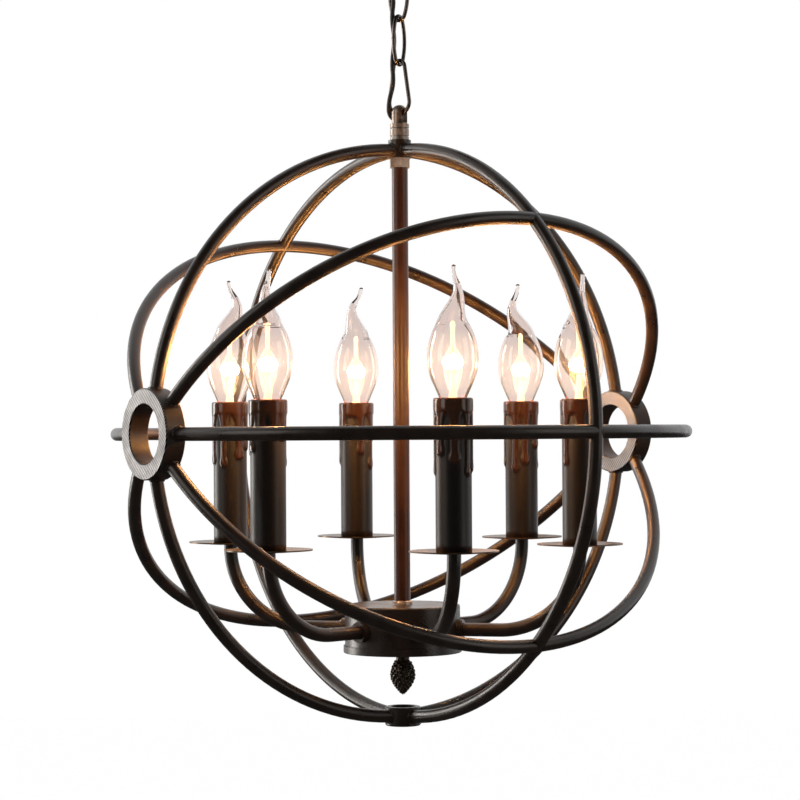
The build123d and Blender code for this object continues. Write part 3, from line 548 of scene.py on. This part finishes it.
def weld_bead(middle, outward, across, carrier_radius, girth=1.0, thickness=WELD_RADIUS):
    """A closed bead where a bar that runs along outward meets a round carrier whose axis is across.
    middle is on the carrier's axis. girth is the bead's size beside the bar's."""
    along = across.cross(outward)
    places, radii = [], []
    for k in range(WELD_STEPS):
        turn = 2 * math.pi * k / WELD_STEPS
        side, lift = girth * bar_radius * math.cos(turn), girth * bar_radius * math.sin(turn)
        reach = math.sqrt(max(carrier_radius ** 2 - side ** 2, 0.0))
        places.append(middle + outward * reach + along * side + across * lift)
        radii.append(thickness * welds.uniform(0.7, 1.35))
    return tube_rings(places, radii, 10, closed=True)


def joined(parts):
    vertices, faces = [], []
    for some_vertices, some_faces in parts:
        shift = len(vertices)
        vertices += some_vertices
        faces += [tuple(index + shift for index in face) for face in some_faces]
    return vertices, faces


def place_welds(name, beads):
    """The beads as one painted piece of the cage."""
    placed = make_mesh_object(name, *joined(beads), black_iron)
    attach(placed, "fixture")


HUB_BAR_ANGLES = [math.radians(45 * step) for step in range(8)]
bar_sag = ring_radius - math.sqrt(ring_radius ** 2 - hub_radius ** 2)
for name, side in (("hub_left_welds", -1), ("hub_right_welds", 1)):
    beads = []
    for angle in HUB_BAR_ANGLES:
        outward = Vector((0, math.cos(angle), math.sin(angle)))
        middle = orb + Vector((side * (ring_radius - bar_sag), 0, 0))
        beads.append(weld_bead(middle, outward, Vector((side, 0, 0)), hub_radius))
    place_welds(name, beads)

CROSS_TURN = math.radians(93.8)         # of the cross ring from the main ring
CROSSING_ANGLES = [math.radians(step) for step in (-45, 0, 45, 135, 180, 225)]
cross_out = Vector((math.cos(CROSS_TURN), math.sin(CROSS_TURN), 0))
beads = []
for angle in CROSSING_ANGLES:
    middle = orb + (cross_out * math.cos(angle) + Vector((0, 0, math.sin(angle)))) * ring_radius
    across = Vector((0, 0, math.cos(angle))) - cross_out * math.sin(angle)
    for side in (-1, 1):
        beads.append(weld_bead(middle, Vector((side, 0, 0)), across, bar_radius,
                               girth=CROSSING_GIRTH, thickness=CROSSING_WELD_RADIUS))
place_welds("crossing_welds", beads)

collar_ways = [Vector((1, 0, 0)), Vector((-1, 0, 0)), cross_out, -cross_out]
for node, side in (("top_collar", 1), ("bottom_collar", -1)):
    low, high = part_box(node)
    collar_radius = (high.x - low.x) / 2
    middle = orb + Vector((0, 0, side * math.sqrt(ring_radius ** 2 - collar_radius ** 2)))
    beads = [weld_bead(middle, way, Vector((0, 0, 1)), collar_radius) for way in collar_ways]
    place_welds(f"{node}_welds", beads)

# ------------------------------------------------------------------ drum
# A pressed drum with a pressed base that laps over its foot by 5 mm. Both are painted like the arms
# that plug into its side behind small collars.
LAMPS = 6
dress(black_iron, "drum_body", "drum_base", "arm_collars", *[f"arm_{k + 1}" for k in range(LAMPS)])
drum_nut_worn = mottled_finish("drum_nut_worn", (0.17, 0.125, 0.105), (0.64, 0.58, 0.53), (0.3, 0.5),
                               metal=0.8, scale=300.0, contrast=0.75)
dress(drum_nut_worn, "drum_nut")
connector_clear = mottled_finish("connector_clear", (0.55, 0.55, 0.52), (0.65, 0.65, 0.61), (0.3, 0.4))
dress(connector_clear, "wire_connectors")
dress(flex_black, "inner_wiring")

# ------------------------------------------------------------------ drip pans
# Spun steel discs, lacquered brown over bronze, mottled between a dark and a gold brown.
pan_bronze = mottled_finish("pan_bronze", (0.060, 0.038, 0.024), (0.150, 0.100, 0.062), (0.26, 0.4),
                            metal=0.7, scale=90.0, contrast=0.6)
dress(pan_bronze, "drip_pans")

# ------------------------------------------------------------------ candle sleeves
# Card tubes with dark wax run down them from the rim: a smooth band at the top, arches under it and
# long drips that end in beads. Tube and wax are one dark brown, the wax the glossier.
lamp_axes = [Vector(joint["pos_m"]) for joint in frame["joints"] if joint["child"].startswith("bulb_")]
SLEEVE_RADIUS = 0.0126
SLEEVE_BORE_RADIUS = 0.0116
SLEEVE_TOP = 0.024
SLEEVE_FOOT = -0.0826
SLEEVE_STEPS = 132
BORE_ROW = 0.012                        # height of the highest row of points in the bore
LIP_HEIGHT = 0.0016
LIP_STEPS = 8
WAX_RISE = 0.0013
WAX_TOP = SLEEVE_TOP - LIP_HEIGHT
WAX_REACH = 0.062
WAX_FOOT = WAX_TOP - WAX_REACH
WAX_ROWS = 92
PLAIN_ROWS = 8
BAND_HEIGHT = 0.0105
BAND_EDGE = 0.0006                      # over how much the band's edge thins out
DRIP_HALF_WIDTHS = (0.0019, 0.0032)
DRIP_ENDS = (0.022, 0.056)
DRIP_EDGE = 0.0005
FLARE_LIMIT = 2.5                       # how much wider a drip starts than it runs
FLARE_REACH = 0.0045
BEAD_SWELL = 0.45
BEAD_RISE = 0.0035                      # of the bead's middle over the drip's end
BEAD_REACH = 0.003


def drip_plan(seed):
    """Drips round one sleeve, each its place round it, its half width and how far down it ends."""
    pick = random.Random(seed)
    count = pick.choice((6, 7, 7, 8))
    turn = pick.uniform(0, 2 * math.pi)
    plan = []
    for k in range(count):
        place = turn + 2 * math.pi * (k + pick.uniform(-0.2, 0.2)) / count
        plan.append((place, pick.uniform(*DRIP_HALF_WIDTHS), pick.uniform(*DRIP_ENDS)))
    return plan


def wax_thickness(turn, drop, plan):
    """How far the wax stands off the tube at an angle and at a drop below the rim, 0 to 1."""
    waves = 0.0011 * math.sin(3 * turn + plan[0][0]) + 0.0007 * math.sin(7 * turn + plan[1][0])
    cover = 1 / (1 + math.exp((drop - (BAND_HEIGHT + waves)) / BAND_EDGE))
    for place, half, end in plan:
        away = (turn - place + math.pi) % (2 * math.pi) - math.pi
        flare = FLARE_LIMIT
        if drop > BAND_HEIGHT * 0.5:
            flare = min(1 + 1.5 * math.exp(-(drop - BAND_HEIGHT * 0.9) / FLARE_REACH), FLARE_LIMIT)
        bead = BEAD_SWELL * math.exp(-((drop - end + BEAD_RISE) / BEAD_REACH) ** 2)
        width = half * flare * (1 + bead)
        offset = away * SLEEVE_RADIUS
        if abs(offset) < width:
            round_off = 1 / (1 + math.exp((drop - end) / DRIP_EDGE))
            arch = math.sqrt(1 - (offset / width) ** 2) ** 0.8
            cover = max(cover, arch * round_off * (0.85 + 0.35 * bead))
    return cover


def build_sleeve(seed):
    """One tube with its wax: a closed skin from the foot of the bore, over the rim and down outside."""
    plan = drip_plan(seed)
    outer = SLEEVE_RADIUS + WAX_RISE
    middle, half = (outer + SLEEVE_BORE_RADIUS) / 2, (outer - SLEEVE_BORE_RADIUS) / 2
    rows = [(SLEEVE_BORE_RADIUS, SLEEVE_FOOT), (SLEEVE_BORE_RADIUS, BORE_ROW)]
    for k in range(LIP_STEPS + 1):
        turn = math.pi * k / LIP_STEPS
        rows.append((middle - math.cos(turn) * half, WAX_TOP + LIP_HEIGHT * math.sin(turn)))
    for k in range(1, WAX_ROWS + 1):
        rows.append((None, WAX_TOP - WAX_REACH * k / WAX_ROWS))     # no radius: it follows the wax
    for k in range(1, PLAIN_ROWS + 1):
        rows.append((SLEEVE_RADIUS, WAX_FOOT + (SLEEVE_FOOT - WAX_FOOT) * k / PLAIN_ROWS))
    vertices, wax = [], []
    for radius, height in rows:
        for k in range(SLEEVE_STEPS):
            turn = 2 * math.pi * k / SLEEVE_STEPS
            if radius is None:
                cover = wax_thickness(turn, SLEEVE_TOP - height, plan)
                away = SLEEVE_RADIUS + WAX_RISE * cover
            else:
                away, cover = radius, 1.0 if height > BORE_ROW else 0.0
            vertices.append(Vector((away * math.cos(turn), away * math.sin(turn), height)))
            wax.append(min(cover, 1.0))
    faces = []
    count = len(rows)
    for i in range(count):
        for k in range(SLEEVE_STEPS):
            after, beside = (i + 1) % count, (k + 1) % SLEEVE_STEPS
            faces.append((i * SLEEVE_STEPS + k, after * SLEEVE_STEPS + k,
                          after * SLEEVE_STEPS + beside, i * SLEEVE_STEPS + beside))
    return vertices, faces, wax


def build_sleeve_wax():
    """The tube's dull dark brown, and where wax lies on it a warmer and glossier one."""
    material, nodes, links, shader = start_material("sleeve_wax")
    mottle = add_mottle(nodes, 70.0, 0.6, (0.0046, 0.0034, 0.0029), (0.0088, 0.0062, 0.0052))
    mask = nodes.new("ShaderNodeAttribute")
    mask.attribute_name = "wax"
    waxed = mask.outputs["Fac"]
    colour = add_colour_mix(nodes, links, waxed, mottle.outputs["Color"], (0.045, 0.0190, 0.0110, 1.0))
    links.new(colour, shader.inputs["Base Color"])
    links.new(add_range(nodes, links, waxed, 0.40, 0.13), shader.inputs["Roughness"])
    links.new(add_skin(nodes, 700.0, 0.00008), shader.inputs["Normal"])
    return material


sleeve_wax = build_sleeve_wax()
for k, axis in enumerate(lamp_axes):
    vertices, faces, wax = build_sleeve(seed=21 + k)
    sleeve = make_mesh_object(f"candle_sleeve_{k + 1}", vertices, faces, sleeve_wax)
    mask = sleeve.data.attributes.new("wax", "FLOAT", "POINT")
    mask.data.foreach_set("value", wax)
    sleeve.location = (axis.x, axis.y, orb.z)
    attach(sleeve, "fixture")
    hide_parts("candle_sleeves")

# ------------------------------------------------------------------ lamp holders
# Moulded black holders stand in the sleeves on their zinc-plated straps. Only their rims show, from
# above.
holder_black = mottled_finish("holder_black", (0.010, 0.010, 0.010), (0.020, 0.019, 0.018), (0.35, 0.5))
dress(holder_black, "lamp_holders")

# ------------------------------------------------------------------ bulbs
# Clear glass drawn to a bent tip, on a brass screw cap. Inside, a flared glass stem carries a post,
# two leads and a filament folded into hairpins, which is lit.
GLOW_HEIGHT = 0.0485
GLARE_FULL = 0.0165
GLARE_END = 0.029


def build_painted_glare_glass():
    """Faintly rosy clear glass with a painted glow: emission on the glass round the filament's middle stands
    in for the filament's glare.
    """
    material, nodes, links, shader = start_material("clear_glass")
    tint = add_mottle(nodes, 25.0, 0.3, (0.845, 0.755, 0.72), (0.90, 0.82, 0.79))
    links.new(tint.outputs["Color"], shader.inputs["Base Color"])
    shader.inputs["Transmission Weight"].default_value = 1.0
    shader.inputs["Roughness"].default_value = 0.0
    shader.inputs["IOR"].default_value = 1.46
    where = nodes.new("ShaderNodeTexCoord")
    middle = nodes.new("ShaderNodeAttribute")
    middle.attribute_type = "OBJECT"
    middle.attribute_name = "glow_place"
    away = nodes.new("ShaderNodeVectorMath")
    away.operation = "DISTANCE"
    links.new(where.outputs["Object"], away.inputs[0])
    links.new(middle.outputs["Vector"], away.inputs[1])
    near = add_range(nodes, links, away.outputs["Value"], 1.0, 0.0, start=GLARE_FULL, end=GLARE_END,
                     shape="SMOOTHERSTEP")
    # painted glare: warm emission on the glass itself, full within GLARE_FULL of the filament's middle and
    # gone by GLARE_END
    glare = add_colour_mix(nodes, links, near, (0.0, 0.0, 0.0, 1.0), (0.075, 0.050, 0.025, 1.0))
    links.new(glare, shader.inputs["Emission Color"])
    shader.inputs["Emission Strength"].default_value = 1.0
    return material


def lit_material(name, base, glow, strength):
    """A plain material that gives off light, and its shader."""
    material, _, _, shader = start_material(name)
    shader.inputs["Base Color"].default_value = (*base, 1.0)
    shader.inputs["Emission Color"].default_value = (*glow, 1.0)
    shader.inputs["Emission Strength"].default_value = strength
    return material, shader


clear_glass = build_painted_glare_glass()
cap_brass = mottled_finish("cap_brass", (0.45, 0.32, 0.15), (0.62, 0.46, 0.24), (0.2, 0.35), metal=1.0,
                           scale=200.0)
# painted glow: the glass stem gives off a faint warm light of its own, standing in for the filament's light
# on it
stem_glass_painted_glow, stem_shader = lit_material("stem_glass_painted_glow", (0.93, 0.88, 0.80), (1.0, 0.78, 0.45), 0.55)
stem_shader.inputs["Transmission Weight"].default_value = 0.6
stem_shader.inputs["Roughness"].default_value = 0.12
filament_hot, _ = lit_material("filament_hot", (0.9, 0.6, 0.3), (1.0, 0.80, 0.50), 14.0)

# Radius and height of the flared stem and, above 0.043, of the post that it carries.
STEM_PROFILE = (
    (0.0042, 0.0135), (0.0038, 0.0180), (0.0030, 0.0250), (0.0020, 0.0320), (0.0018, 0.0400),
    (0.0015, 0.0430), (0.0015, 0.0720), (0.0019, 0.0740), (0.0013, 0.0762), (0.0002, 0.0770),
)
STEM_SIDES = 24
HAIRPINS = 7
HAIRPIN_STEPS = 8
HAIRPIN_REACH = 0.0046                  # up and down from the middle of the glow
HAIRPIN_RADIUS = 0.0072
HAIRPIN_END_RADIUS = 0.0032
FILAMENT_WIRE = 0.00045
LEAD_WIRE = 0.00025
LEAD_FOOT = 0.0400
UPPER_HOOKS = 0.0600
LOWER_HOOKS = 0.0410


def turned_profile(profile, sides):
    """Vertices and faces of a solid turned about the upright axis. profile is (radius, height)."""
    places = [Vector((0, 0, height)) for _, height in profile]
    return tube_rings(places, [radius for radius, _ in profile], sides)


def build_filament():
    """Hairpins of filament wire round the post, bowed out like a barrel's staves, as one line."""
    route = []
    steps = HAIRPIN_STEPS * HAIRPINS
    for k in range(steps + 1):
        turn = 2 * math.pi * k / (steps + 2)
        climb = 2 * math.pi * k / HAIRPIN_STEPS
        radius = HAIRPIN_END_RADIUS + (HAIRPIN_RADIUS - HAIRPIN_END_RADIUS) * abs(math.sin(climb))
        height = GLOW_HEIGHT + HAIRPIN_REACH * math.cos(climb)
        route.append(Vector((radius * math.cos(turn), radius * math.sin(turn), height)))
    return route


def build_supports(route):
    """Two leads from the stem to the ends of the filament, and a hook from the post to each bend."""
    parts = []
    for end in (route[0], route[-1]):
        foot = Vector((end.x * 0.25, end.y * 0.25, LEAD_FOOT))
        sag = foot.lerp(end, 0.5) - Vector((0, 0, 0.0006))
        parts.append(tube_rings([foot, sag, end], LEAD_WIRE, 8))
    half_pin = HAIRPIN_STEPS // 2
    for bend in route[half_pin:-1:half_pin]:
        root = Vector((0.0, 0.0, UPPER_HOOKS if bend.z > GLOW_HEIGHT else LOWER_HOOKS))
        parts.append(tube_rings([root, root.lerp(bend, 0.6), bend], LEAD_WIRE * 0.7, 6))
    return parts


for k, axis in enumerate(lamp_axes):
    name = f"bulb_glass_{k + 1}"
    glass = frame["nodes"][name]
    glass["glow_place"] = [axis.x, axis.y, orb.z + GLOW_HEIGHT]
    glass.visible_shadow = False
    dress(clear_glass, name)
    dress(cap_brass, f"bulb_cap_{k + 1}")
    body = f"bulb_{k + 1}"
    route = build_filament()
    stem = make_mesh_object(f"glass_stem_{k + 1}", *turned_profile(STEM_PROFILE, STEM_SIDES), stem_glass_painted_glow)
    leads = make_mesh_object(f"filament_supports_{k + 1}", *joined(build_supports(route)), nickel)
    filament = make_mesh_object(f"filament_{k + 1}", *tube_rings(route, FILAMENT_WIRE, 8), filament_hot)
    for piece in (stem, leads, filament):
        piece.location = (axis.x, axis.y, orb.z)
        piece.visible_shadow = False
        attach(piece, body)
    lamp_data = bpy.data.lights.new(f"lamp_light_{k + 1}", "POINT")
    lamp_data.color = (1.0, 0.43, 0.12)
    lamp_data.energy = 0.8
    lamp_data.shadow_soft_size = 0.006
    lamp_light = bpy.data.objects.new(f"lamp_light_{k + 1}", lamp_data)
    lamp_light.location = (axis.x, axis.y, orb.z + GLOW_HEIGHT)
    bpy.context.scene.collection.objects.link(lamp_light)
    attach(lamp_light, body)

# ------------------------------------------------------------------ finial
# A cast pine cone of dark bronze screwed up under the drum. Its scales lie in a spiral over a
# spindle-shaped core, and their tips catch the light.
finial_low, finial_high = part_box("finial")
finial_radius = (finial_high.x - finial_low.x) / 2
finial_height = finial_high.z - finial_low.z
FLANGE_RADIUS = 0.0069
FLANGE_DROP = 0.0020
FLANGE_EDGE = 0.00002                   # half of the fall over which the flange ends
NECK_RADIUS = 0.0050
NECK_DROP = 0.0058
WIDEST_DROP = 0.0175
SCALE_STAND = 0.0006
SCALES = 150
SCALE_SIDES = 10
SCALE_RINGS = ((0.45, 0.42), (0.8, 0.12), (1.0, -0.35))     # spread and lift of its rings of points
CONE_ROWS = 60
GOLDEN_TURN = math.pi * (3 - math.sqrt(5))


def cone_radius(drop):
    """Radius of the cone's core at a drop below the drum."""
    widest = finial_radius - SCALE_STAND
    if drop < FLANGE_DROP:
        return FLANGE_RADIUS
    if drop < NECK_DROP:
        return NECK_RADIUS
    if drop < WIDEST_DROP:
        return widest - (widest - NECK_RADIUS) * ((WIDEST_DROP - drop) / (WIDEST_DROP - NECK_DROP)) ** 2
    return widest * (1 - ((drop - WIDEST_DROP) / (finial_height - WIDEST_DROP)) ** 1.7)


def build_scale(drop, turn, size):
    """One scale: a rounded lozenge that stands off the core and hooks towards the tip."""
    radius = cone_radius(drop)
    outward = Vector((math.cos(turn), math.sin(turn), 0))
    side = Vector((-math.sin(turn), math.cos(turn), 0))
    slope = (cone_radius(min(drop + 0.0006, finial_height)) - cone_radius(drop - 0.0006)) / 0.0012
    downward = (Vector((0, 0, -1)) + outward * slope).normalized()
    facing = side.cross(downward).normalized()
    if facing.dot(outward) < 0:
        facing = -facing
    middle = Vector((0, 0, finial_high.z - drop)) + outward * radius
    vertices = [middle + facing * size * 0.55 + downward * size * 0.25]
    for spread, lift in SCALE_RINGS:
        for k in range(SCALE_SIDES):
            angle = 2 * math.pi * k / SCALE_SIDES
            pull = 1.25 if math.cos(angle) > 0 else 0.9
            vertices.append(middle + side * size * 0.62 * spread * math.sin(angle)
                            + downward * size * (0.72 * spread * pull * math.cos(angle) + 0.22 * (1 - spread))
                            + facing * size * lift)
    faces = [(0, 1 + k, 1 + (k + 1) % SCALE_SIDES) for k in range(SCALE_SIDES)]
    for first in range(1, 1 + SCALE_SIDES * (len(SCALE_RINGS) - 1), SCALE_SIDES):
        for k in range(SCALE_SIDES):
            a, b = first + k, first + (k + 1) % SCALE_SIDES
            faces.append((a, a + SCALE_SIDES, b + SCALE_SIDES, b))
    faces.append(tuple(range(len(vertices) - SCALE_SIDES, len(vertices))))
    return vertices, faces


cone_drops = sorted([finial_height * k / CONE_ROWS for k in range(CONE_ROWS + 1)]
                    + [FLANGE_DROP - FLANGE_EDGE, FLANGE_DROP + FLANGE_EDGE])
cone_places = [Vector((0, 0, finial_high.z - drop)) for drop in cone_drops]
cone_parts = [tube_rings(cone_places, [max(cone_radius(drop), 0.0003) for drop in cone_drops], 32)]
for k in range(SCALES):
    share = ((k + 0.5) / SCALES) ** 0.92
    drop = NECK_DROP + 0.0008 + (finial_height - NECK_DROP - 0.0022) * share
    size = 0.0023 * (0.45 + 0.55 * math.sin(math.pi * (0.12 + 0.8 * share)))
    cone_parts.append(build_scale(drop, GOLDEN_TURN * k, size))
finial_bronze = mottled_finish("finial_bronze", (0.012, 0.009, 0.007), (0.110, 0.085, 0.060), (0.22, 0.4),
                               metal=0.6, scale=420.0, contrast=0.75)
pine_cone = make_mesh_object("pine_cone", *joined(cone_parts), finial_bronze)
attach(pine_cone, "fixture")
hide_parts("finial")
